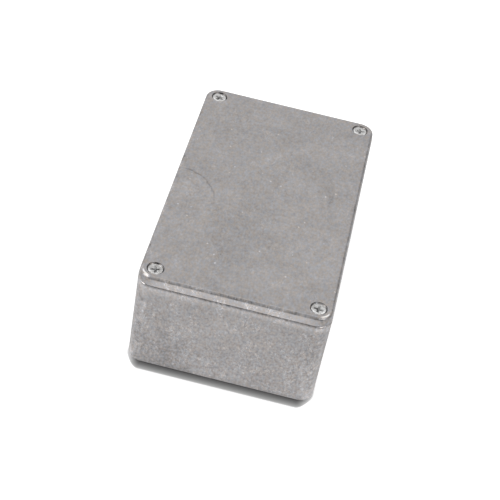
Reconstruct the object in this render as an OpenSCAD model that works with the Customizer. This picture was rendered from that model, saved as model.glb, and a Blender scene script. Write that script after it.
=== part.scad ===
// Die cast box: a deep drafted tray, a lid that laps over its tongue and four countersunk screws.
// Millimetres. X is the width, Y the length, Z up, with the origin under the middle of the base.

/* [Box] */
// Length of the closed box, over the seam
box_length = 138; // [110:1:200]
// Width of the closed box, over the seam
box_width = 80; // [60:1:120]
// Height of the closed box
box_height = 48.5; // [35:0.5:90]
// Radius of the four upright corners at the seam
corner_r = 6.5; // [4:0.1:8]

/* [Body casting] */
// Wall thickness at the rim
wall_t = 2.6; // [2.2:0.1:3.5]
// Floor thickness
floor_t = 2.4; // [1.6:0.1:4]
// Draft of the outside walls, degrees
body_draft = 0.3; // [0.1:0.1:1.5]
// Draft of the inside walls, degrees
cavity_draft = 1.2; // [0.5:0.1:2]
// Radius round the bottom edge
foot_r = 2.3; // [0.5:0.1:3]
// Radius where the inside walls meet the floor
floor_fillet_r = 1.5; // [0.5:0.1:3]
// Radius on the rim's outer edge, which opens the seam
rim_r = 0.6; // [0.2:0.05:0.8]

/* [Tongue] */
// Height of the locating tongue above the rim
tongue_h = 1.4; // [0.8:0.1:1.8]
// Thickness of the tongue
tongue_t = 1.1; // [0.8:0.1:1.2]
// Clearance between the tongue and the lid
tongue_gap = 0.2; // [0.1:0.05:0.4]

/* [Lid casting] */
// Height of the lid from the seam to its top face
lid_h = 4.3; // [3.8:0.1:7]
// Thickness of the lid's plate
plate_t = 2.2; // [1.5:0.1:2.4]
// Radius round the lid's top edge
lid_edge_r = 1.5; // [0.5:0.1:2]
// Draft of the lid's sides, degrees
lid_draft = 4; // [1:0.5:6]
// Radius where the pocket's walls meet the plate
pocket_fillet_r = 0.6; // [0.2:0.1:1]

/* [Corner pillars] */
// Distance from the screw's axis to the two nearest sides
screw_inset = 6.5; // [6:0.1:9]
// Radius of a pillar around the screw's axis, at its top
pillar_r = 4; // [3.5:0.1:5]
// Draft of the pillars and of the lid's seats, degrees
pillar_draft = 1; // [0.5:0.1:2]
// Depth of the tapped hole
tap_depth = 12; // [10:0.5:20]
// Chamfer at the mouth of the tapped hole
tap_chamfer = 0.4; // [0.2:0.1:0.8]

/* [Lid screws] */
// Outer diameter of the thread
screw_d = 3.5; // [3:0.1:4]
// Diameter of the countersunk head
head_d = 6.4; // [5.5:0.1:7]
// Height of the straight edge of the head
head_edge_h = 0.2; // [0.1:0.05:0.3]
// Length of the screw, head included
screw_length = 12; // [10:0.5:14]
// Chamfer at the screw's tip
tip_chamfer = 0.5; // [0.3:0.1:1]
// Clearance round the head in the lid's recess
sink_gap = 0.4; // [0.2:0.05:0.6]
// Depth of the recess's straight side, above its cone
sink_edge_h = 0.3; // [0.2:0.1:0.6]
// Diameter of the clearance hole through the lid
clearance_d = 4.2; // [4:0.1:4.6]
// Radial clearance between the screw and its tapped hole
thread_gap = 0.05; // [0.02:0.01:0.1]
// Clearance between the head's cone and the countersink
seat_gap = 0.08; // [0.02:0.01:0.15]
// Width of the cross recess across its wings
cross_w = 4; // [3:0.1:4.4]
// Width of one wing of the cross recess
wing_t = 0.95; // [0.6:0.05:1.2]
// Depth of the cross recess
cross_depth = 1.9; // [1:0.1:2.2]

/* [Board guides] */
// Thickness of a guide rib
guide_t = 1.2; // [0.8:0.1:2]
// How far a guide rib stands out from its wall
guide_proud = 1.5; // [1:0.1:2.5]
// Width of the slot between the two ribs of a guide
slot_w = 1.8; // [1.6:0.1:2.4]
// Distance from the rim down to the top of the guides
guide_drop = 4; // [2:0.5:10]
// Distance between neighbouring guides
guide_pitch = 20; // [12:1:26]
// Number of guides on each long wall
long_guides = 5; // [1:1:5]
// Number of guides on each short wall
short_guides = 2; // [1:1:2]

/* [Hidden] */

$fn = 64;
cut = 1; // how far a cutting shape runs past the face that it opens
cast_grey = [0.66, 0.65, 0.64];
screw_silver = [0.80, 0.80, 0.79];

seam_z = box_height - lid_h;
rim_size = [box_width, box_length];
skirt_t = wall_t - tongue_t - tongue_gap;
pocket_h = lid_h - plate_t;
sink_d = head_d + 2 * sink_gap;
head_sink = sink_edge_h + sink_gap - head_edge_h; // depth of the head's top below the lid's face
head_top = box_height - head_sink;
head_cone_h = (head_d - screw_d) / 2;
tap_d = screw_d + 2 * thread_gap;
// Turn of each screw's cross recess, as four hand-driven screws stop
screw_turns = [[12, 63], [-8, 5]];

// How much a drafted side moves over a height, to a thousandth so that neighbours meet exactly.
function lean(h, draft) = round(h * tan(draft) * 1000) / 1000;

// Half section of a cast form. Its side starts at `low` from the axis and leans outwards by `draft`,
// with round edges of low_r and high_r.
module side_profile(low, h, draft, low_r, high_r) {
    high = low + lean(h, draft);
    foot = low_r > 0 ? [[low - low_r, 0], [low - low_r, low_r], [low, low_r]] : [[low, 0]];
    head = high_r > 0 ? [[high, h - high_r], [high - high_r, h - high_r], [high - high_r, h]]
        : [[high, h]];
    polygon(concat([[0, 0]], foot, head, [[0, h]]));
    if (low_r > 0) translate([low - low_r, low_r]) mirror([0, 1]) round_corner(low_r);
    if (high_r > 0) translate([high - high_r, h - high_r]) round_corner(high_r);
}

module round_corner(r) {
    intersection() {
        circle(r);
        square(r);
    }
}

// A cast form with four upright round corners. size and corner_r are taken at its lower face. A long
// middle, two ends and four quarter corners meet face to face.
module cast_block(size, corner_r, h, draft, low_r = 0, high_r = 0) {
    x = size.x / 2 - corner_r;
    y = size.y / 2 - corner_r;
    rotate([90, 0, 0])
        linear_extrude(2 * y, center = true)
            for (side = [0, 1])
                mirror([side, 0]) side_profile(x + corner_r, h, draft, low_r, high_r);
    for (end = [0, 1])
        mirror([0, end, 0]) translate([0, y, 0]) {
            rotate([90, 0, 90])
                linear_extrude(2 * x, center = true)
                    side_profile(corner_r, h, draft, low_r, high_r);
            for (side = [0, 1])
                mirror([side, 0, 0]) translate([x, 0, 0])
                    rotate_extrude(angle = 90) side_profile(corner_r, h, draft, low_r, high_r);
        }
}

// The same form with size and corner_r taken at its upper face.
module cast_block_down(size, corner_r, h, draft, low_r = 0, high_r = 0) {
    shift = lean(h, draft);
    cast_block(size - [2 * shift, 2 * shift], corner_r - shift, h, draft, low_r, high_r);
}

// Places its children at the four screws.
module at_screws() {
    for (sx = [0, 1], sy = [0, 1])
        translate([(2 * sx - 1) * (box_width / 2 - screw_inset),
            (2 * sy - 1) * (box_length / 2 - screw_inset), 0])
            rotate(screw_turns[sx][sy]) children();
}

// Solid corners, round towards the middle of the box, that widen upwards by draft from their size at
// z = 0. They are concentric with the screws, and extra widens them all round.
module corner_seats(h, draft, extra = 0) {
    reach = 2 * (screw_inset + pillar_r + extra);
    for (sx = [-1, 1], sy = [-1, 1])
        translate([sx * box_width / 2, sy * box_length / 2, 0])
            cast_block([reach, reach], pillar_r + extra, h, draft);
}

// One rib on the wall at +X, `wall` from the middle of the box.
module guide_rib(wall) {
    top = seam_z - guide_drop;
    foot = floor_t / 2;
    crest = wall - wall_t - guide_proud;
    root = wall - wall_t / 2;
    rotate([90, 0, 0])
        linear_extrude(guide_t, center = true)
            polygon([[root, foot], [crest - lean(seam_z - foot, cavity_draft), foot],
                [crest - lean(seam_z - top, cavity_draft), top], [root, top + root - crest]]);
}

// Pairs of ribs along one wall, with a board slot between the two of a pair.
module guide_row(wall, count) {
    for (i = [0 : count - 1], side = [-1, 1])
        translate([0, (i - (count - 1) / 2) * guide_pitch + side * (slot_w + guide_t) / 2, 0])
            guide_rib(wall);
}

module board_guides() {
    for (turn = [0, 180]) {
        rotate(turn) guide_row(box_width / 2, long_guides);
        rotate(turn + 90) guide_row(box_length / 2, short_guides);
    }
}

// The inside of the tray, open through the tongue. Its corners lie within the pillars.
module cavity() {
    above = tongue_h + cut;
    inset = wall_t - lean(above, cavity_draft);
    translate([0, 0, floor_t])
        cast_block_down(rim_size - 2 * [inset, inset], pillar_r, seam_z - floor_t + above,
            cavity_draft, low_r = floor_fillet_r);
}

module tongue() {
    inset = wall_t - tongue_t;
    root = wall_t; // how deep it is rooted in the wall
    translate([0, 0, seam_z - root])
        cast_block(rim_size - 2 * [inset, inset], corner_r - inset, root + tongue_h, 0);
}

module tapped_holes() {
    at_screws() {
        translate([0, 0, seam_z - tap_depth]) cylinder(d = tap_d, h = tap_depth + cut);
        translate([0, 0, seam_z - tap_chamfer])
            cylinder(d1 = tap_d, d2 = tap_d + 2 * (tap_chamfer + cut), h = tap_chamfer + cut);
    }
}

module body() {
    color(cast_grey)
        difference() {
            union() {
                cast_block_down(rim_size, corner_r, seam_z, body_draft, low_r = foot_r, high_r = rim_r);
                tongue();
            }
            difference() {
                cavity();
                translate([0, 0, seam_z]) mirror([0, 0, 1]) corner_seats(seam_z, pillar_draft);
                board_guides();
            }
            translate([0, 0, seam_z])
                corner_seats(tongue_h + cut, 0, extra = tongue_gap);
            tapped_holes();
        }
}

// Clearance hole and countersunk recess of one screw, down from the lid's top face.
module screw_hole() {
    edge_z = box_height - sink_edge_h;
    cone_h = (sink_d - clearance_d) / 2;
    translate([0, 0, seam_z - cut]) cylinder(d = clearance_d, h = lid_h + 2 * cut);
    translate([0, 0, edge_z - cone_h]) cylinder(d1 = clearance_d, d2 = sink_d, h = cone_h);
    translate([0, 0, edge_z]) cylinder(d = sink_d, h = sink_edge_h + cut);
}

module lid() {
    color(cast_grey)
        difference() {
            translate([0, 0, seam_z])
                cast_block(rim_size, corner_r, lid_h, -lid_draft, low_r = rim_r, high_r = lid_edge_r);
            translate([0, 0, seam_z])
                difference() {
                    translate([0, 0, -cut])
                        cast_block(rim_size - 2 * [skirt_t, skirt_t], corner_r - skirt_t,
                            pocket_h + cut, 0, high_r = pocket_fillet_r);
                    corner_seats(pocket_h + cut, pillar_draft);
                }
            at_screws() screw_hole();
        }
}

// The cross recess, tapered to its foot, from the head's top down.
module cross_recess() {
    scale_up = 1 + cut / cross_depth;
    intersection() {
        translate([0, 0, -cross_depth])
            cylinder(d1 = wing_t, d2 = wing_t + (cross_w - wing_t) * scale_up, h = cross_depth + cut);
        for (turn = [0, 90])
            rotate(turn) cube([cross_w + 2 * cut, wing_t, 2 * (cross_depth + cut)], center = true);
    }
}

// One countersunk screw, standing with its head's top at z = 0.
module countersunk_screw() {
    cone_drop = seat_gap * sqrt(2); // keeps the cone clear of the countersink, measured square to it
    difference() {
        union() {
            translate([0, 0, -head_edge_h]) cylinder(d = head_d - 2 * cone_drop, h = head_edge_h);
            translate([0, 0, -head_edge_h - head_cone_h])
                cylinder(d1 = screw_d - 2 * cone_drop, d2 = head_d - 2 * cone_drop, h = head_cone_h);
            translate([0, 0, tip_chamfer - screw_length])
                cylinder(d = screw_d, h = screw_length - tip_chamfer - head_edge_h - head_cone_h / 2);
            translate([0, 0, -screw_length])
                cylinder(d1 = screw_d - 2 * tip_chamfer, d2 = screw_d, h = tip_chamfer);
        }
        cross_recess();
    }
}

module lid_screws() {
    color(screw_silver)
        translate([0, 0, head_top])
            at_screws() countersunk_screw();
}

body();
lid();
lid_screws();
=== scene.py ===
import math
import bmesh
import bpy
from mathutils import Matrix, Vector, noise


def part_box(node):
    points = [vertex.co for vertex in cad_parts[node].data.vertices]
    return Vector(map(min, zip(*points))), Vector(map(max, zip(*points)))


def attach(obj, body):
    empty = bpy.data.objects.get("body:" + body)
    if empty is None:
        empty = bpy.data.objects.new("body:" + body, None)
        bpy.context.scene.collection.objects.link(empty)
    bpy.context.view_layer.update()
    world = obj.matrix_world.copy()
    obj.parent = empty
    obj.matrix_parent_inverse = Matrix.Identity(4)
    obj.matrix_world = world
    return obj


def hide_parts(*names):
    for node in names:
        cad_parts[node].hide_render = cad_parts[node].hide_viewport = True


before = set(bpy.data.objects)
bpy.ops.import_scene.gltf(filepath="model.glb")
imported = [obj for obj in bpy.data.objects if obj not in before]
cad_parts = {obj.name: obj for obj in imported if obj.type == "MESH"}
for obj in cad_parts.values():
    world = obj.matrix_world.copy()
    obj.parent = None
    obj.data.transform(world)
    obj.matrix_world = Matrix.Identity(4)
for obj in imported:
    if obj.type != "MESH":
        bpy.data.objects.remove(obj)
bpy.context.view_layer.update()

print("frame loaded:", ", ".join(sorted(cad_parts)))

# lengths in the settings are in millimetres, but the camera, the floor's size and the lamps are in metres
mm = 0.001
scene = bpy.context.scene
scene.view_settings.view_transform = "Standard"

cameraSettings = {
    "lens": 103.7,                       # on a 36 mm sensor
    "place": (0.0272, -0.4850, 0.4352),
    "aim": (-0.0011, -0.0098, 0.0240),
    "roll": 11.5,                        # degrees, the box leans to the left in the view
}


def aimedFrom(place, aim):
    # where a camera or lamp stands, and how it turns to face its aim
    place = Vector(place)
    turn = (Vector(aim) - place).to_track_quat("-Z", "Y").to_matrix().to_4x4()
    return Matrix.Translation(place) @ turn


def makeCamera(settings):
    data = bpy.data.cameras.new("camera")
    data.lens = settings["lens"]
    camera = bpy.data.objects.new("camera", data)
    roll = Matrix.Rotation(math.radians(settings["roll"]), 4, "Z")
    camera.matrix_world = aimedFrom(settings["place"], settings["aim"]) @ roll
    scene.collection.objects.link(camera)
    scene.camera = camera


makeCamera(cameraSettings)
print("camera placed")


# small helpers for building node trees

def setSocket(tree, socket, value):
    if isinstance(value, bpy.types.NodeSocket):
        tree.links.new(value, socket)
    else:
        socket.default_value = value


def addNode(tree, kind, inputs=(), **settings):
    node = tree.nodes.new("ShaderNode" + kind)
    for name, value in settings.items():
        setattr(node, name, value)
    for name, value in dict(inputs).items():
        setSocket(tree, node.inputs[name], value)
    return node


def calculate(tree, operation, first, second=0.0):
    return addNode(tree, "Math", {0: first, 1: second}, operation=operation).outputs[0]


def multiply(tree, *values):
    total = values[0]
    for value in values[1:]:
        total = calculate(tree, "MULTIPLY", total, value)
    return total


def add(tree, *values):
    total = values[0]
    for value in values[1:]:
        total = calculate(tree, "ADD", total, value)
    return total


def remap(tree, value, low, high, newLow=0.0, newHigh=1.0):
    # a soft step between two values, which may also run downwards
    return addNode(tree, "MapRange", {"Value": value, "From Min": low, "From Max": high, "To Min": newLow,
                                      "To Max": newHigh}, interpolation_type="SMOOTHSTEP").outputs[0]


def remapMm(tree, value, low, high, newLow=0.0, newHigh=1.0):
    # the same, with its two ends in millimetres
    return remap(tree, value, low * mm, high * mm, newLow, newHigh)


def vectorMath(tree, operation, first, second=(0, 0, 0)):
    node = addNode(tree, "VectorMath", {0: first, 1: second}, operation=operation)
    return node.outputs["Value" if operation in ("LENGTH", "DOT_PRODUCT") else "Vector"]


def splitVector(tree, vector):
    parts = addNode(tree, "SeparateXYZ", {0: vector})
    return parts.outputs[0], parts.outputs[1], parts.outputs[2]


def flatVector(tree, x, y):
    return addNode(tree, "CombineXYZ", {0: x, 1: y}).outputs[0]


def mixColour(tree, factor, first, second, kind="MIX"):
    node = addNode(tree, "Mix", {0: factor, 6: first, 7: second}, data_type="RGBA", blend_type=kind)
    return node.outputs[2]


def shadeColour(tree, colour, shade):
    grey = addNode(tree, "CombineColor", {"Red": shade, "Green": shade, "Blue": shade}).outputs[0]
    return mixColour(tree, 1.0, colour, grey, "MULTIPLY")


def noiseAt(tree, point, size, detail=2.0, roughness=0.5, distortion=0.0, shift=(0, 0, 0)):
    # size is the length of one wave in millimetres
    moved = vectorMath(tree, "ADD", point, Vector(shift) * mm)
    scale = calculate(tree, "DIVIDE", 1.0 / mm, size)
    return addNode(tree, "TexNoise", {"Vector": moved, "Scale": scale, "Detail": detail,
                                      "Roughness": roughness, "Distortion": distortion}).outputs[0]


def swing(tree, value, *amounts):
    # a value from 0 to 1 turned into one that goes both ways from nothing
    return multiply(tree, add(tree, value, -0.5), *amounts)


def newGroup(name, inputs, outputs):
    tree = bpy.data.node_groups.new(name, "ShaderNodeTree")
    for label, kind, value in inputs:
        socket = tree.interface.new_socket(label, in_out="INPUT", socket_type="NodeSocket" + kind)
        if value is not None:
            socket.default_value = value
    for label in outputs:
        tree.interface.new_socket(label, in_out="OUTPUT", socket_type="NodeSocketFloat")
    return tree, tree.nodes.new("NodeGroupInput").outputs, tree.nodes.new("NodeGroupOutput").inputs


def useGroup(tree, group, inputs):
    node = addNode(tree, "Group", node_tree=group)
    for name, value in inputs.items():
        setSocket(tree, node.inputs[name], value)
    return node.outputs


def newMaterial(name):
    material = bpy.data.materials.new(name)
    material.use_nodes = True
    return material, material.node_tree, material.node_tree.nodes["Principled BSDF"]


def dress(node, material):
    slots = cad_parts[node].data.materials
    slots.clear()
    slots.append(material)


# effects that the castings and the screws share

mottleSettings = {
    # a noise without a size here takes it from the material
    "cloud": {"size": 16.0, "detail": 4.0, "roughness": 0.55},
    "patch": {"detail": 3.0, "roughness": 0.6, "distortion": 0.4, "shift": (31, 7, 3)},
    "grain": {"detail": 2.0, "roughness": 0.6, "shift": (5, 43, 11)},
    "fleck": {"detail": 1.0, "roughness": 0.5, "distortion": 1.2, "shift": (17, 3, 29)},
    "fleckPlace": {"size": 5.0, "detail": 3.0, "roughness": 0.6, "shift": (9, 19, 41)},
    "tint": {"detail": 4.0, "roughness": 0.9, "shift": (3, 23, 13)},
    "fleckWidth": 0.05,
    "fleckPlaces": (0.48, 0.62),         # from none to full
    "tintRange": (0.40, 0.60),           # from cool to warm
    "patchHeight": 0.6,
    "grainHeight": 0.25,
    "fleckHeight": 0.15,
    "heightRange": (0.3, 0.7),           # where the height makes a surface smoothest and roughest
}


def buildCastMottle(settings):
    # clouds, patches and grain of a tumbled casting, and the curly flecks where it was rubbed bright
    tree, given, made = newGroup("castMottle", [
        ("Vector", "Vector", None), ("Draw Out", "Vector", (1, 1, 1)), ("Tint Size", "Float", 1.5),
        ("Cloud", "Float", 0.3), ("Patch Size", "Float", 2.4), ("Patch", "Float", 0.4),
        ("Grain Size", "Float", 0.9), ("Grain", "Float", 0.4), ("Fleck Size", "Float", 2.0),
        ("Fleck", "Float", 0.2)], ["Shade", "Tint", "Height", "Fleck"])
    point = vectorMath(tree, "DIVIDE", given["Vector"], given["Draw Out"])
    cloud = noiseAt(tree, given["Vector"], **settings["cloud"])
    patch = noiseAt(tree, point, given["Patch Size"], **settings["patch"])
    grain = noiseAt(tree, point, given["Grain Size"], **settings["grain"])
    worm = noiseAt(tree, point, given["Fleck Size"], **settings["fleck"])
    where = noiseAt(tree, point, **settings["fleckPlace"])
    tint = noiseAt(tree, point, given["Tint Size"], **settings["tint"])
    line = remap(tree, calculate(tree, "ABSOLUTE", add(tree, worm, -0.5)), settings["fleckWidth"], 0.0)
    fleck = multiply(tree, line, remap(tree, where, *settings["fleckPlaces"]))
    shade = add(tree, swing(tree, cloud, given["Cloud"]), swing(tree, patch, given["Patch"]),
                swing(tree, grain, given["Grain"]), multiply(tree, fleck, given["Fleck"]), 1.0)
    height = add(tree, multiply(tree, patch, settings["patchHeight"]),
                 multiply(tree, grain, settings["grainHeight"]),
                 multiply(tree, fleck, settings["fleckHeight"]))
    tree.links.new(shade, made["Shade"])
    tree.links.new(remap(tree, tint, *settings["tintRange"]), made["Tint"])
    tree.links.new(height, made["Height"])
    tree.links.new(fleck, made["Fleck"])
    return tree


nickSettings = {
    "wobble": {"size": 0.8, "detail": 2.0, "roughness": 0.6},
    "wobbleShare": 2.0,                  # of a nick's reach
    "smallest": 0.4,                     # of the given size
    "fade": (1.0, 0.4),                  # from the edge inwards
}


def buildNicks(settings):
    # small bright dents that tumbling leaves, one in some of the cells of a loose pattern
    tree, given, made = newGroup("nicks", [("Vector", "Vector", None), ("Spacing", "Float", 7.0),
                                           ("Size", "Float", 0.5), ("Share", "Float", 0.5)], ["Nick"])
    wobble = noiseAt(tree, given["Vector"], **settings["wobble"])
    scale = calculate(tree, "DIVIDE", 1.0 / mm, given["Spacing"])
    cells = addNode(tree, "TexVoronoi", {"Vector": given["Vector"], "Scale": scale}, feature="F1")
    pick, size, _ = splitVector(tree, cells.outputs["Color"])
    reach = multiply(tree, given["Size"], add(tree, size, settings["smallest"]))
    reach = calculate(tree, "DIVIDE", reach, given["Spacing"])
    bent = add(tree, cells.outputs["Distance"], swing(tree, wobble, reach, settings["wobbleShare"]))
    inside = calculate(tree, "LESS_THAN", pick, given["Share"])
    nick = remap(tree, calculate(tree, "DIVIDE", bent, reach), *settings["fade"])
    tree.links.new(multiply(tree, inside, nick), made["Nick"])
    return tree


castMottle = buildCastMottle(mottleSettings)
nicks = buildNicks(nickSettings)
print("shared effects built")


# the four screws, with a rolled thread and a worn cross recess

screwSettings = {
    "inset": 6.5,                        # from the box's sides to a screw's axis
    "turns": {"FrontLeft": 12, "FrontRight": -8, "BackLeft": 63, "BackRight": 5},    # degrees
    "length": 12.0,
    "tipChamfer": 0.4,
    "headRadius": 3.08,
    "headEdge": 0.2,
    "headRound": [(0.0, -0.06), (-0.05, 0.0), (-0.35, 0.015), (-0.7, -0.01)],    # outwards and up
    "coreRadius": 1.38,
    "crestRadius": 1.73,
    "neckStep": 0.1,                     # how much thinner the neck is than the thread
    "neckLength": 0.6,
    "neckRise": 0.4,                     # of the slope from the core to the neck
    "pitch": 0.6,
    "ridgeRoot": 0.28,                   # half the height of the thread's ridge at the core
    "ridgeCrest": 0.05,
    "ridgeSink": 0.08,                   # how deep the ridge sits in the core
    "threadStart": 0.6,                  # above the tip, to the middle of the ridge
    "threadStop": 1.1,                   # under the head's cone
    "crossSpan": 4.0,
    "wingWidth": 0.95,
    # depth of each ring of the recess, how much wider its wings are and how far it has narrowed
    "recess": [(0.0, 0.16, 0.0), (0.05, 0.04, 0.0), (0.25, -0.06, 0.08), (0.9, -0.12, 0.4),
               (1.5, -0.2, 0.75), (1.9, -0.3, 1.0)],
    "recessNarrow": 0.8,
    "recessDrop": 0.01,
    "wear": 0.26,                        # how far the driver has chewed the recess's edge
    "wearWaves": 1.8,
    "wearSeed": 3.7,                     # sets each screw's wear apart from the next one's
    "segments": 96,
    "threadSegments": 24,
    "smoothAngle": 38,                   # degrees, sharper edges stay sharp
}


def growRing(shape, edges, radiusAt, height):
    grown = bmesh.ops.extrude_edge_only(shape, edges=edges)["geom"]
    points = {part for part in grown if isinstance(part, bmesh.types.BMVert)}
    for point in points:
        angle = math.atan2(point.co.y, point.co.x)
        radius = radiusAt(angle)
        point.co = Vector((radius * math.cos(angle), radius * math.sin(angle), height))
    return [part for part in grown if isinstance(part, bmesh.types.BMEdge) and points.issuperset(part.verts)]


def crossRadius(angle, span, wing):
    # distance from the middle to the edge of a cross with square wings
    turn = abs((angle + math.pi / 4) % (math.pi / 2) - math.pi / 4)
    return min(span / 2 / math.cos(turn), wing / 2 / max(math.sin(turn), 0.01))


def addThread(shape, settings, low, high):
    # a ridge that winds up the core, as a closed strip of its own
    inner = settings["coreRadius"] - settings["ridgeSink"]
    crest, root, flat = settings["crestRadius"], settings["ridgeRoot"], settings["ridgeCrest"]
    section = [(inner, -root), (inner, root), (crest, flat), (crest, -flat)]
    corners = [shape.verts.new((radius, 0, low + height)) for radius, height in section]
    edges = [shape.edges.new((corners[index - 1], corners[index])) for index in range(len(corners))]
    turns = (high - low) / settings["pitch"]
    steps = round(turns * settings["threadSegments"])
    bmesh.ops.spin(shape, geom=corners + edges, axis=(0, 0, 1), cent=(0, 0, 0), steps=steps,
                   angle=turns * 2 * math.pi, dvec=(0, 0, (high - low) / steps))
    bmesh.ops.holes_fill(shape, edges=[edge for edge in shape.edges if edge.is_boundary], sides=4)


def buildScrewShape(settings, seed):
    shape = bmesh.new()
    core, crest, head = settings["coreRadius"], settings["crestRadius"], settings["headRadius"]
    neck = crest - settings["neckStep"]
    coneDrop = settings["headEdge"] + head - crest
    neckDrop = coneDrop + settings["neckLength"]
    bmesh.ops.create_circle(shape, cap_ends=True, segments=settings["segments"],
                            radius=core - settings["tipChamfer"],
                            matrix=Matrix.Translation((0, 0, -settings["length"])))
    loop = list(shape.edges)
    profile = [(core, settings["tipChamfer"] - settings["length"]), (core, -neckDrop - settings["neckRise"]),
               (neck, -neckDrop), (neck, -coneDrop), (head, -settings["headEdge"])]
    profile += [(head + outwards, up) for outwards, up in settings["headRound"]]
    for radius, height in profile:
        loop = growRing(shape, loop, lambda angle: radius, height)
    span, wing, waves = settings["crossSpan"], settings["wingWidth"], settings["wearWaves"]
    for drop, wider, narrowing in settings["recess"]:
        def radiusAt(angle):
            chewed = noise.noise(Vector((math.cos(angle) * waves, math.sin(angle) * waves, seed + drop)))
            reach = span - (span - wing) * settings["recessNarrow"] * narrowing
            return crossRadius(angle, reach, wing + 2 * wider) + wider / 2 + settings["wear"] * chewed
        loop = growRing(shape, loop, radiusAt, -drop - settings["recessDrop"])
    bmesh.ops.contextual_create(shape, geom=loop)
    threadLow = settings["threadStart"] - settings["length"]
    addThread(shape, settings, threadLow, -coneDrop - settings["threadStop"])
    bmesh.ops.recalc_face_normals(shape, faces=shape.faces)
    return shape


def makeScrew(corner, settings, seed):
    shape = buildScrewShape(settings, seed)
    inset = settings["inset"] * mm
    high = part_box("body")[1]
    sideX = -1 if "Left" in corner else 1
    sideY = -1 if "Front" in corner else 1
    place = Vector((sideX * (high.x - inset), sideY * (high.y - inset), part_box("lid_screws")[1].z))
    turn = Matrix.Rotation(math.radians(settings["turns"][corner]), 4, "Z")
    placed = Matrix.Translation(place) @ turn @ Matrix.Scale(mm, 4)
    bmesh.ops.transform(shape, matrix=placed, verts=shape.verts)
    for edge in shape.edges:
        edge.smooth = edge.is_manifold and edge.calc_face_angle() < math.radians(settings["smoothAngle"])
    for face in shape.faces:
        face.smooth = True
    mesh = bpy.data.meshes.new("screw" + corner)
    shape.to_mesh(mesh)
    shape.free()
    piece = bpy.data.objects.new("screw" + corner, mesh)
    scene.collection.objects.link(piece)
    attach(piece, "root")
    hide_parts("lid_screws")
    return piece


def aroundScrew(tree, point):
    # distance from the axis of the nearest screw, and how far outwards along the box from it
    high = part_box("lid")[1]
    inset = screwSettings["inset"] * mm
    corner = (high.x - inset, high.y - inset, 0)
    x, y, _ = splitVector(tree, vectorMath(tree, "SUBTRACT", vectorMath(tree, "ABSOLUTE", point), corner))
    return vectorMath(tree, "LENGTH", flatVector(tree, x, y)), y


zincSettings = {
    "bright": (0.62, 0.62, 0.62, 1),
    "dull": (0.44, 0.43, 0.42, 1),
    "dullRange": (0.2, 0.9),             # of the tint, from bright to dull
    # painted shade: the darker colour inside the cross recess
    "recess": (0.52, 0.52, 0.52, 1),
    "recessDepths": (-0.1, -0.8),        # mm from the head's top, from plain to recess
    "mottle": {"Cloud": 0.2, "Patch Size": 1.2, "Patch": 0.4, "Grain Size": 0.5, "Grain": 0.4,
               "Fleck Size": 0.8, "Fleck": 0.6},
    "nicks": {"Spacing": 1.4, "Size": 0.3, "Share": 0.5},
    "nickShade": -0.25,
    "nickHeight": -0.5,
    "glint": 0.6,                        # of the bright spots on the front of each head's rim
    "glintRim": (1.9, 2.5),              # mm from the axis
    "glintFront": (-0.1, -1.1),          # and in front of it
    "glintSpots": {"size": 0.9, "detail": 2.0, "roughness": 0.6, "shift": (7, 1, 5)},
    "glintShare": (0.50, 0.58),
    "roughness": 0.20,
    "roughSpread": 0.12,
    "recessRough": 0.2,
    "bump": 0.3,
    "bumpReach": 0.1,
}


def makeZinc(settings):
    material, tree, surface = newMaterial("zincPlate")
    point = addNode(tree, "TexCoord").outputs["Object"]
    mottle = useGroup(tree, castMottle, {"Vector": point, **settings["mottle"]})
    nick = useGroup(tree, nicks, {"Vector": point, **settings["nicks"]})[0]
    _, y, z = splitVector(tree, point)
    height = add(tree, z, -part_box("lid_screws")[1].z)
    deep = remapMm(tree, height, *settings["recessDepths"])
    dull = remap(tree, mottle["Tint"], *settings["dullRange"])
    colour = mixColour(tree, dull, settings["bright"], settings["dull"])
    # painted shade: the recess takes the darker colour
    colour = mixColour(tree, deep, colour, settings["recess"])
    # painted highlight: glints on the front of each head's rim
    distance, outwards = aroundScrew(tree, point)
    forwards = multiply(tree, outwards, calculate(tree, "SIGN", y))
    rim = multiply(tree, remapMm(tree, distance, *settings["glintRim"]),
                   remapMm(tree, forwards, *settings["glintFront"]))
    spots = remap(tree, noiseAt(tree, point, **settings["glintSpots"]), *settings["glintShare"])
    shade = add(tree, mottle["Shade"], multiply(tree, nick, settings["nickShade"]),
                multiply(tree, rim, spots, settings["glint"]))
    tree.links.new(shadeColour(tree, colour, shade), surface.inputs["Base Color"])
    surface.inputs["Metallic"].default_value = 1.0
    heights = mottleSettings["heightRange"]
    rough = add(tree, remap(tree, mottle["Height"], *heights, 0.0, settings["roughSpread"]),
                multiply(tree, deep, settings["recessRough"]), settings["roughness"])
    tree.links.new(rough, surface.inputs["Roughness"])
    relief = add(tree, mottle["Height"], multiply(tree, nick, settings["nickHeight"]))
    reach = settings["bumpReach"] * mm
    bump = addNode(tree, "Bump", {"Height": relief, "Strength": settings["bump"], "Distance": reach})
    tree.links.new(bump.outputs[0], surface.inputs["Normal"])
    return material


zinc = makeZinc(zincSettings)
dress("lid_screws", zinc)
for number, corner in enumerate(screwSettings["turns"]):
    screw = makeScrew(corner, screwSettings, screwSettings["wearSeed"] * number)
    screw.data.materials.append(zinc)
print("screws made")


# the two castings, the wear along their edges, and the painted sheen and highlights on their sides, front
# crest and front corners

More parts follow.
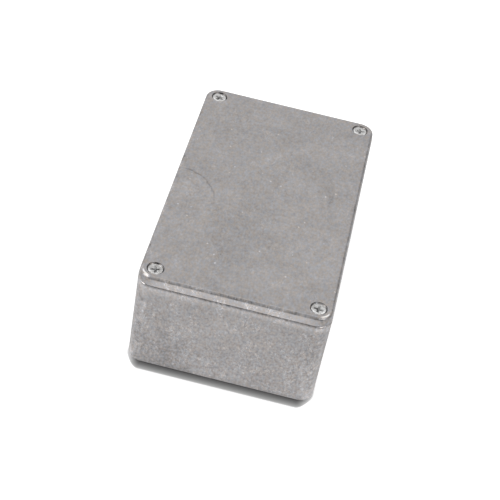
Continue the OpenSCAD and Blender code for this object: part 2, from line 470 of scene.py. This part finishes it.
castSettings = {
    "cornerRadius": 6.5,                 # of the upright corners
    "drawOut": (1.0, 1.5, 1.3),          # how far the mottle is stretched across, along and up the box
    "lid": {
        "cool": (0.377, 0.381, 0.404, 1), "warm": (0.403, 0.366, 0.339, 1),
        "mottle": {"Tint Size": 1.35, "Cloud": 0.42, "Patch Size": 2.4, "Patch": 0.48, "Grain Size": 0.95,
                   "Grain": 0.60, "Fleck Size": 1.5, "Fleck": 0.22},
        "nicks": {"Spacing": 5.0, "Size": 0.4, "Share": 0.8}, "nickShine": 0.60,
        "roughness": 0.42, "bump": 0.25, "breakUp": 0.9,
        "edgeShine": 0.09, "edgeGrain": 2.0, "sideSheen": 0.46, "sideSheenFlecks": 0.6, "crestHighlight": 0.26,
        "frontCornerHighlight": {"Low": 0.90, "High": 0.997}, "cornerHighlightShine": 1.5},
    "body": {
        "cool": (0.367, 0.371, 0.389, 1), "warm": (0.387, 0.354, 0.335, 1),
        "mottle": {"Tint Size": 1.25, "Cloud": 0.35, "Patch Size": 2.3, "Patch": 0.50, "Grain Size": 1.0,
                   "Grain": 1.10, "Fleck Size": 1.9, "Fleck": 0.50},
        "nicks": {"Spacing": 4.0, "Size": 0.45, "Share": 0.6}, "nickShine": 0.4,
        "roughness": 0.46, "bump": 0.4, "breakUp": 0.5,
        "edgeShine": 0.10, "edgeGrain": 0.8, "sideSheen": 0.0, "sideSheenFlecks": 0.0, "crestHighlight": 0.1,
        "frontCornerHighlight": {"Low": 0.35, "High": 0.95}, "cornerHighlightShine": 0.60},
    "roughSpread": 0.06,
    "edgeRough": -0.05,
    "cornerHighlightRough": -0.15,
    "nickHeight": -0.6,
    "bumpReach": 0.2,
}

edgeWearAndSheenSettings = {
    "ragged": {"size": 1.6, "detail": 3.0, "roughness": 0.65},
    "between": (0.22, 0.5),              # product of two parts of the normal, from plain to worn
    "upright": (0.55, 0.2),              # upward part of the normal, from none to full
    "facing": (0.85, 0.97),
    "sideFade": (0.70, 0.92, 1.0, 0.35),    # shares of the half width, and the shine there
    "front": (-0.02, -0.1),              # this and the next two bound the crest over the front
    "steep": (0.92, 0.965),
    "level": (0.9995, 0.985),
    "sideRagged": 0.4,
    "crestRagged": 0.1,
}


def buildEdgeWearAndSheen(settings):
    # how much of a surface is on a rounded edge, on a side or on the crest over the front, broken up by
    # noise; the edge carries wear, the side a painted sheen and the crest a painted highlight
    tree, given, made = newGroup("edgeWearAndSheen", [("Vector", "Vector", None), ("Normal", "Vector", None),
                                              ("Break Up", "Float", 0.5)], ["Edge", "Side", "Crest Highlight"])
    x, y, z = splitVector(tree, vectorMath(tree, "ABSOLUTE", given["Normal"]))
    between = calculate(tree, "MAXIMUM", multiply(tree, x, y),
                        calculate(tree, "MAXIMUM", multiply(tree, x, z), multiply(tree, y, z)))
    ragged = swing(tree, noiseAt(tree, given["Vector"], **settings["ragged"]), given["Break Up"])
    sideRagged = multiply(tree, ragged, settings["sideRagged"])
    upright = remap(tree, add(tree, z, sideRagged), *settings["upright"])
    facing = remap(tree, calculate(tree, "MAXIMUM", x, y), *settings["facing"])
    across = calculate(tree, "ABSOLUTE", splitVector(tree, given["Vector"])[0])
    start, stop, full, left = settings["sideFade"]
    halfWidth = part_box("body")[1].x
    fade = remap(tree, across, halfWidth * start, halfWidth * stop, full, left)
    front = remap(tree, splitVector(tree, given["Normal"])[1], *settings["front"])
    crestRagged = multiply(tree, ragged, settings["crestRagged"])
    steep = remap(tree, add(tree, z, crestRagged), *settings["steep"])
    crest = multiply(tree, remap(tree, z, *settings["level"]), steep, front)
    tree.links.new(remap(tree, add(tree, between, ragged), *settings["between"]), made["Edge"])
    tree.links.new(multiply(tree, upright, facing, fade), made["Side"])
    tree.links.new(crest, made["Crest Highlight"])
    return tree


# where the painted highlight round the front corners lies
cornerHighlightSettings = {
    "ragged": {"size": 1.3, "detail": 2.0, "roughness": 0.6},
    "raggedness": 0.1,
    "outside": 1.2,                      # mm past the corner's radius where it has ended
    "inside": 0.6,                       # mm within the radius where it is full
    "sideways": (0.2, 0.5),              # heading round the corner, from none to full
    "forwards": (0.25, 0.55),
    "lowFade": 0.06,
    "highOut": 0.002,
    "highFade": 0.004,
}


def buildCornerPolish(settings, radius):
    # painted highlight: bright arcs where an edge turns round an upright corner of the box, on the front
    # corners only
    tree, given, made = newGroup("cornerPolish", [
        ("Vector", "Vector", None), ("Normal", "Vector", None), ("Low", "Float", 0.92),
        ("High", "Float", 0.996)], ["Polish"])
    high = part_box("body")[1]
    low, top = given["Low"], given["High"]
    x, y, _ = splitVector(tree, vectorMath(tree, "ABSOLUTE", given["Vector"]))
    flat = flatVector(tree, add(tree, x, radius - high.x), add(tree, y, radius - high.y))
    distance = vectorMath(tree, "LENGTH", flat)
    near = remap(tree, distance, radius + settings["outside"] * mm, radius - settings["inside"] * mm)
    sideways, forwards, _ = splitVector(tree, vectorMath(tree, "NORMALIZE", flat))
    turned = multiply(tree, remap(tree, sideways, *settings["sideways"]),
                      remap(tree, forwards, *settings["forwards"]))
    front = calculate(tree, "LESS_THAN", splitVector(tree, given["Vector"])[1], 0.0)
    tilt = splitVector(tree, given["Normal"])[2]
    ragged = swing(tree, noiseAt(tree, given["Vector"], **settings["ragged"]), settings["raggedness"])
    above = remap(tree, add(tree, tilt, ragged), add(tree, low, -settings["lowFade"]), low)
    below = remap(tree, tilt, add(tree, top, settings["highOut"]), add(tree, top, -settings["highFade"]))
    tree.links.new(multiply(tree, near, above, below, turned, front), made["Polish"])
    return tree


edgeWearAndSheen = buildEdgeWearAndSheen(edgeWearAndSheenSettings)
cornerPolish = buildCornerPolish(cornerHighlightSettings, castSettings["cornerRadius"] * mm)
print("edge wear built")


def makeCast(name, settings, marks):
    material, tree, surface = newMaterial(name)
    point = addNode(tree, "TexCoord").outputs["Object"]
    normal = addNode(tree, "NewGeometry").outputs["Normal"]
    mottle = useGroup(tree, castMottle, {"Vector": point, "Draw Out": castSettings["drawOut"],
                                         **settings["mottle"]})
    nick = useGroup(tree, nicks, {"Vector": point, **settings["nicks"]})[0]
    wear = useGroup(tree, edgeWearAndSheen, {"Vector": point, "Normal": normal, "Break Up": settings["breakUp"]})
    frontCornerHighlight = useGroup(tree, cornerPolish, {"Vector": point, "Normal": normal, **settings["frontCornerHighlight"]})[0]
    # the mottle, nicks and worn edges, and painted light: a painted sheen on the lid's sides, a painted
    # highlight along the front crest and painted highlights round the front corners
    shade = add(tree, mottle["Shade"], multiply(tree, nick, settings["nickShine"]),
                multiply(tree, wear["Edge"], settings["edgeShine"]),
                multiply(tree, wear["Side"], settings["sideSheen"]),
                multiply(tree, wear["Crest Highlight"], settings["crestHighlight"]),
                multiply(tree, frontCornerHighlight, settings["cornerHighlightShine"]),
                multiply(tree, wear["Side"], mottle["Fleck"], settings["sideSheenFlecks"]),
                multiply(tree, wear["Edge"], add(tree, mottle["Height"], -0.5), settings["edgeGrain"]))
    for mark in marks:
        shade = add(tree, shade, mark(tree, point))
    colour = mixColour(tree, mottle["Tint"], settings["cool"], settings["warm"])
    tree.links.new(shadeColour(tree, colour, shade), surface.inputs["Base Color"])
    surface.inputs["Metallic"].default_value = 1.0
    least = settings["roughness"] - castSettings["roughSpread"]
    most = settings["roughness"] + castSettings["roughSpread"]
    rough = add(tree, remap(tree, mottle["Height"], *mottleSettings["heightRange"], least, most),
                multiply(tree, wear["Edge"], castSettings["edgeRough"]),
                multiply(tree, frontCornerHighlight, castSettings["cornerHighlightRough"]))
    tree.links.new(rough, surface.inputs["Roughness"])
    relief = add(tree, mottle["Height"], multiply(tree, nick, castSettings["nickHeight"]))
    reach = castSettings["bumpReach"] * mm
    bump = addNode(tree, "Bump", {"Height": relief, "Strength": settings["bump"], "Distance": reach})
    tree.links.new(bump.outputs[0], surface.inputs["Normal"])
    return material


# marks that sit in one place on a casting, in millimetres, where a negative depth is a lighter place; some of
# them are painted shade and painted highlights, as said where each stands

markSettings = {
    "creviceShade": {"ring": (3.95, 3.72), "below": (-0.04, -0.14), "depth": 0.52},
    "flowLine": {"centre": (-39.5, -14.0), "radius": 19.0, "width": 0.7, "depth": 0.26, "fade": (-8.0, 14.0),
                 "wobble": {"size": 5.0, "detail": 3.0, "roughness": 0.6}, "wobbleReach": 3.0},
    "scratch": {"from": (-16.0, -46.5), "to": (20.0, -32.0), "width": 0.4, "depth": -0.06, "endFade": 0.8},
    "stainEdge": {"size": 2.5, "detail": 3.0, "roughness": 0.65},
    "stainRagged": 1.5,
    "stainFade": (1.1, 0.2),
    # centre, half size and depth
    "lidStains": [((-4, 47, 48.5), (9, 3, 1), 0.10), ((28, 6, 48.5), (2, 7, 1), 0.14),
                  ((30, -22, 48.5), (2, 6, 1), 0.08), ((26, -30, 48.5), (22, 50, 2), -0.06),
                  ((-4, -30, 48.5), (16, 30, 2), 0.04), ((-36, -20, 48.5), (8, 50, 2), -0.04)],
    # on the wall: the first one makes it darker towards the bottom left, and the one at x 38.4 on the right
    # upright corner is a painted highlight
    "bodyStainsAndHighlight": [((-29, -69, 4), (26, 8, 24), 0.18), ((18, -69, 6), (12, 8, 10), 0.05),
                   ((34, -69, 30), (8, 6, 12), 0.06), ((2, -69, 30), (18, 6, 12), -0.06),
                   ((-31, -69, 30), (10, 6, 8), 0.05), ((34, -69, 5), (8, 8, 8), 0.04),
                   ((32.6, -69, 19), (1.1, 4, 7), -0.17), ((34.6, -68, 8), (1.1, 4, 7), -0.17),
                   ((38.4, -66, 26), (0.9, 3, 12), -0.16), ((-35.2, -69, 32), (1.2, 4, 9), -0.20)],
    # heights from the rim down
    "rimHighlightAndSeamShade": {"above": (-0.7, -1.1), "below": (-5.0, -1.1), "shine": 0.30, "wallTopLightFade": (-26.0, 0.0),
                "wallTopLight": 0.05, "seamShadeFade": (-0.55, -0.3), "seamShade": 0.22},
    # the larger nicks, where each one is and its size
    "lidNicks": [((29.5, 11.5), 0.7), ((25.5, 8.0), 0.5), ((5.5, 8.0), 0.6), ((-7.0, -15.5), 0.6),
                 ((-11.5, -51.0), 0.7), ((4.5, -37.5), 0.6), ((18.0, -35.0), 0.6), ((29.5, -23.0), 0.5),
                 ((17.5, -49.0), 0.6), ((19.5, -12.5), 0.6), ((24.5, -37.5), 0.5), ((-28.5, -20.0), 0.5),
                 ((-13.0, -46.0), 0.5)],
    "nickNarrow": 0.8,
    "nickDepth": -0.68,
}


def screwCreviceShade(tree, point):
    # painted shade in the narrow ring round each screw's head, below the lid's top
    settings = markSettings["creviceShade"]
    height = add(tree, splitVector(tree, point)[2], -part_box("lid")[1].z)
    ring = remapMm(tree, aroundScrew(tree, point)[0], *settings["ring"])
    return multiply(tree, ring, remapMm(tree, height, *settings["below"]), -settings["depth"])


def flowLine(tree, point):
    # a faint curved seam where two streams of metal met, strongest at the lid's left edge
    settings = markSettings["flowLine"]
    centre = Vector((*settings["centre"], 0)) * mm
    x, y, _ = splitVector(tree, vectorMath(tree, "SUBTRACT", point, centre))
    distance = vectorMath(tree, "LENGTH", flatVector(tree, x, y))
    wobble = swing(tree, noiseAt(tree, point, **settings["wobble"]), settings["wobbleReach"] * mm)
    off = calculate(tree, "ABSOLUTE", add(tree, distance, wobble, -settings["radius"] * mm))
    line = remapMm(tree, off, settings["width"], 0.0)
    return multiply(tree, line, remapMm(tree, y, *settings["fade"]), -settings["depth"])


def scratch(tree, point):
    settings = markSettings["scratch"]
    start, end = (Vector((*settings[key], 0)) * mm for key in ("from", "to"))
    along = (end - start).normalized()
    across = Vector((-along.y, along.x, 0))
    away = vectorMath(tree, "SUBTRACT", point, (start + end) / 2)
    lengthwise = calculate(tree, "ABSOLUTE", vectorMath(tree, "DOT_PRODUCT", away, along))
    sideways = calculate(tree, "ABSOLUTE", vectorMath(tree, "DOT_PRODUCT", away, across))
    half = (end - start).length / 2
    line = remapMm(tree, sideways, settings["width"], 0.0)
    ends = remap(tree, lengthwise, half, half * settings["endFade"])
    return multiply(tree, line, ends, -settings["depth"])


def rimHighlightAndSeamShade(tree, point):
    # painted light and shade on the wall: a painted highlight in a band right under the seam, the wall
    # painted a little lighter towards the rim, and painted shade in the seam itself
    settings = markSettings["rimHighlightAndSeamShade"]
    height = add(tree, splitVector(tree, point)[2], -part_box("lid")[0].z)
    band = multiply(tree, remapMm(tree, height, *settings["above"]),
                    remapMm(tree, height, *settings["below"]), settings["shine"])
    wallTopLight = multiply(tree, remapMm(tree, height, *settings["wallTopLightFade"]), settings["wallTopLight"])
    seamShade = multiply(tree, remapMm(tree, height, *settings["seamShadeFade"]), -settings["seamShade"])
    return add(tree, band, wallTopLight, seamShade)


def stain(centre, size, depth):
    def mark(tree, point):
        away = vectorMath(tree, "SUBTRACT", point, Vector(centre) * mm)
        distance = vectorMath(tree, "LENGTH", vectorMath(tree, "DIVIDE", away, Vector(size) * mm))
        edge = swing(tree, noiseAt(tree, point, **markSettings["stainEdge"]), markSettings["stainRagged"])
        return multiply(tree, remap(tree, add(tree, distance, edge), *markSettings["stainFade"]), -depth)
    return mark


def lidNick(place, size):
    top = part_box("lid")[1].z / mm
    return stain((*place, top), (size * markSettings["nickNarrow"], size, 1), markSettings["nickDepth"])


lidMarks = [screwCreviceShade, flowLine, scratch]
lidMarks += [stain(*values) for values in markSettings["lidStains"]]
lidMarks += [lidNick(*values) for values in markSettings["lidNicks"]]
bodyMarks = [rimHighlightAndSeamShade] + [stain(*values) for values in markSettings["bodyStainsAndHighlight"]]
dress("lid", makeCast("castLid", castSettings["lid"], lidMarks))
dress("body", makeCast("castBody", castSettings["body"], bodyMarks))
print("castings dressed")


# the pale floor with its painted shadow and a painted glow that metal mirrors, the room and the lamps

studioSettings = {
    "floorSize": 6.0,
    "cornerRadius": 6.3,                 # of the box's foot
    "floorColour": (0.84, 0.84, 0.84, 1),
    "floorWhite": 0.55,                  # lift that turns the open floor white
    "shadowStart": -0.4,                 # mm from the foot where the lift begins
    "shadowReach": 0.6,                  # and where it is full
    "shadowFront": 3.0,                  # mm by which both move outwards in front of the front foot
    "frontLength": (0.92, 0.985),        # shares of the half length where the front begins and is full
    "frontWidth": (1.0, 0.84),           # and of the half width
    # painted light: a glow that only metal mirrors, near the box and under its foot
    "mirrorGlow": 0.35,                  # the same lift as metal mirrors it, near the box
    "mirrorReach": (0.0, 70.0),
    "footGlow": 0.36,                    # and close under its foot
    "footReach": (-2.0, 9.0),
    # painted shadow in the floor's colour close in front of the front foot
    "contactShade": 0.21,                # what is left of the floor's colour right at the front foot
    "contactReach": (6.0, -0.8),
    "worldLevel": 0.80,
    "backGain": 0.25,
    "dimFront": {"towards": (0.05, -0.62, 0.78), "from": 0.45, "to": 0.95, "level": 0.88},
    "dimRight": {"towards": (0.80, 0.50, 0.25), "from": 0.72, "to": 0.95, "level": 0.50},
    "lampAim": (0, 0, 0.03),
    "lamps": {"lampLeft": {"place": (-0.83, -0.38, 0.88), "size": (0.4, 0.8), "power": 4.0},
              "lampRight": {"place": (0.70, -0.55, 0.90), "size": (0.4, 0.4), "power": 2.6}},
}


def dressFloor(settings):
    material, tree, surface = newMaterial("floorPaper")
    surface.inputs["Roughness"].default_value = 1.0
    surface.inputs["Specular IOR Level"].default_value = 0.0
    # distance outwards from the box's footprint, whose corners are round
    point = addNode(tree, "TexCoord").outputs["Object"]
    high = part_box("body")[1]
    corner = settings["cornerRadius"] * mm
    straight = (high.x - corner, high.y - corner, 0)
    beyond = vectorMath(tree, "SUBTRACT", vectorMath(tree, "ABSOLUTE", point), straight)
    distance = add(tree, vectorMath(tree, "LENGTH", vectorMath(tree, "MAXIMUM", beyond)), -corner)
    x, y, _ = splitVector(tree, point)
    nearStart, nearFull = (-high.y * share for share in settings["frontLength"])
    wideStart, wideFull = (high.x * share for share in settings["frontWidth"])
    front = multiply(tree, remap(tree, y, nearStart, nearFull),
                     remap(tree, calculate(tree, "ABSOLUTE", x), wideStart, wideFull))
    # painted shadow: the floor's colour darkened close in front of the front foot
    contact = multiply(tree, remapMm(tree, distance, *settings["contactReach"]), front)
    shade = add(tree, multiply(tree, contact, settings["contactShade"] - 1), 1.0)
    tree.links.new(shadeColour(tree, settings["floorColour"], shade), surface.inputs["Base Color"])
    beyondShadow = add(tree, distance, multiply(tree, front, -settings["shadowFront"] * mm))
    openFloor = remapMm(tree, beyondShadow, settings["shadowStart"], settings["shadowReach"], 0.0,
                        settings["floorWhite"])
    # painted light: the floor glows for glossy rays near the box and under its foot, so the walls mirror a
    # brighter floor
    mirrorGlow = add(tree, remapMm(tree, distance, *settings["mirrorReach"], settings["mirrorGlow"], 0.0),
                     remapMm(tree, distance, *settings["footReach"], settings["footGlow"], 0.0))
    path = addNode(tree, "LightPath").outputs
    mirrored = calculate(tree, "MAXIMUM", path["Is Glossy Ray"], path["Is Transmission Ray"])
    lift = add(tree, multiply(tree, path["Is Camera Ray"], openFloor), multiply(tree, mirrored, mirrorGlow))
    surface.inputs["Emission Color"].default_value = (1, 1, 1, 1)
    tree.links.new(lift, surface.inputs["Emission Strength"])
    return material


def makeFloor(settings):
    shape = bmesh.new()
    bmesh.ops.create_grid(shape, x_segments=1, y_segments=1, size=settings["floorSize"] / 2)
    mesh = bpy.data.meshes.new("floor")
    shape.to_mesh(mesh)
    shape.free()
    floor = bpy.data.objects.new("floor", mesh)
    scene.collection.objects.link(floor)
    mesh.materials.append(dressFloor(settings))


def makeWorld(settings):
    world = bpy.data.worlds.new("studio")
    world.use_nodes = True
    tree = world.node_tree
    background = tree.nodes["Background"]
    direction = addNode(tree, "TexCoord").outputs["Generated"]
    back = add(tree, multiply(tree, splitVector(tree, direction)[1], settings["backGain"]), 1.0)
    level = multiply(tree, back, settings["worldLevel"])
    for dim in (settings["dimFront"], settings["dimRight"]):
        towards = vectorMath(tree, "DOT_PRODUCT", direction, Vector(dim["towards"]).normalized())
        level = multiply(tree, level, remap(tree, towards, dim["from"], dim["to"], 1.0, dim["level"]))
    seen = addNode(tree, "LightPath").outputs["Is Camera Ray"]
    strength = addNode(tree, "Mix", {0: seen, 2: level, 3: 1.0}, data_type="FLOAT").outputs[0]
    tree.links.new(strength, background.inputs["Strength"])
    background.inputs["Color"].default_value = (1, 1, 1, 1)
    scene.world = world


def makeLamp(name, settings, aim):
    data = bpy.data.lights.new(name, "AREA")
    data.shape = "RECTANGLE"
    data.size, data.size_y = settings["size"]
    data.energy = settings["power"]
    lamp = bpy.data.objects.new(name, data)
    lamp.matrix_world = aimedFrom(settings["place"], aim)
    scene.collection.objects.link(lamp)


makeFloor(studioSettings)
makeWorld(studioSettings)
for name, lampSettings in studioSettings["lamps"].items():
    makeLamp(name, lampSettings, studioSettings["lampAim"])
print("studio lit")
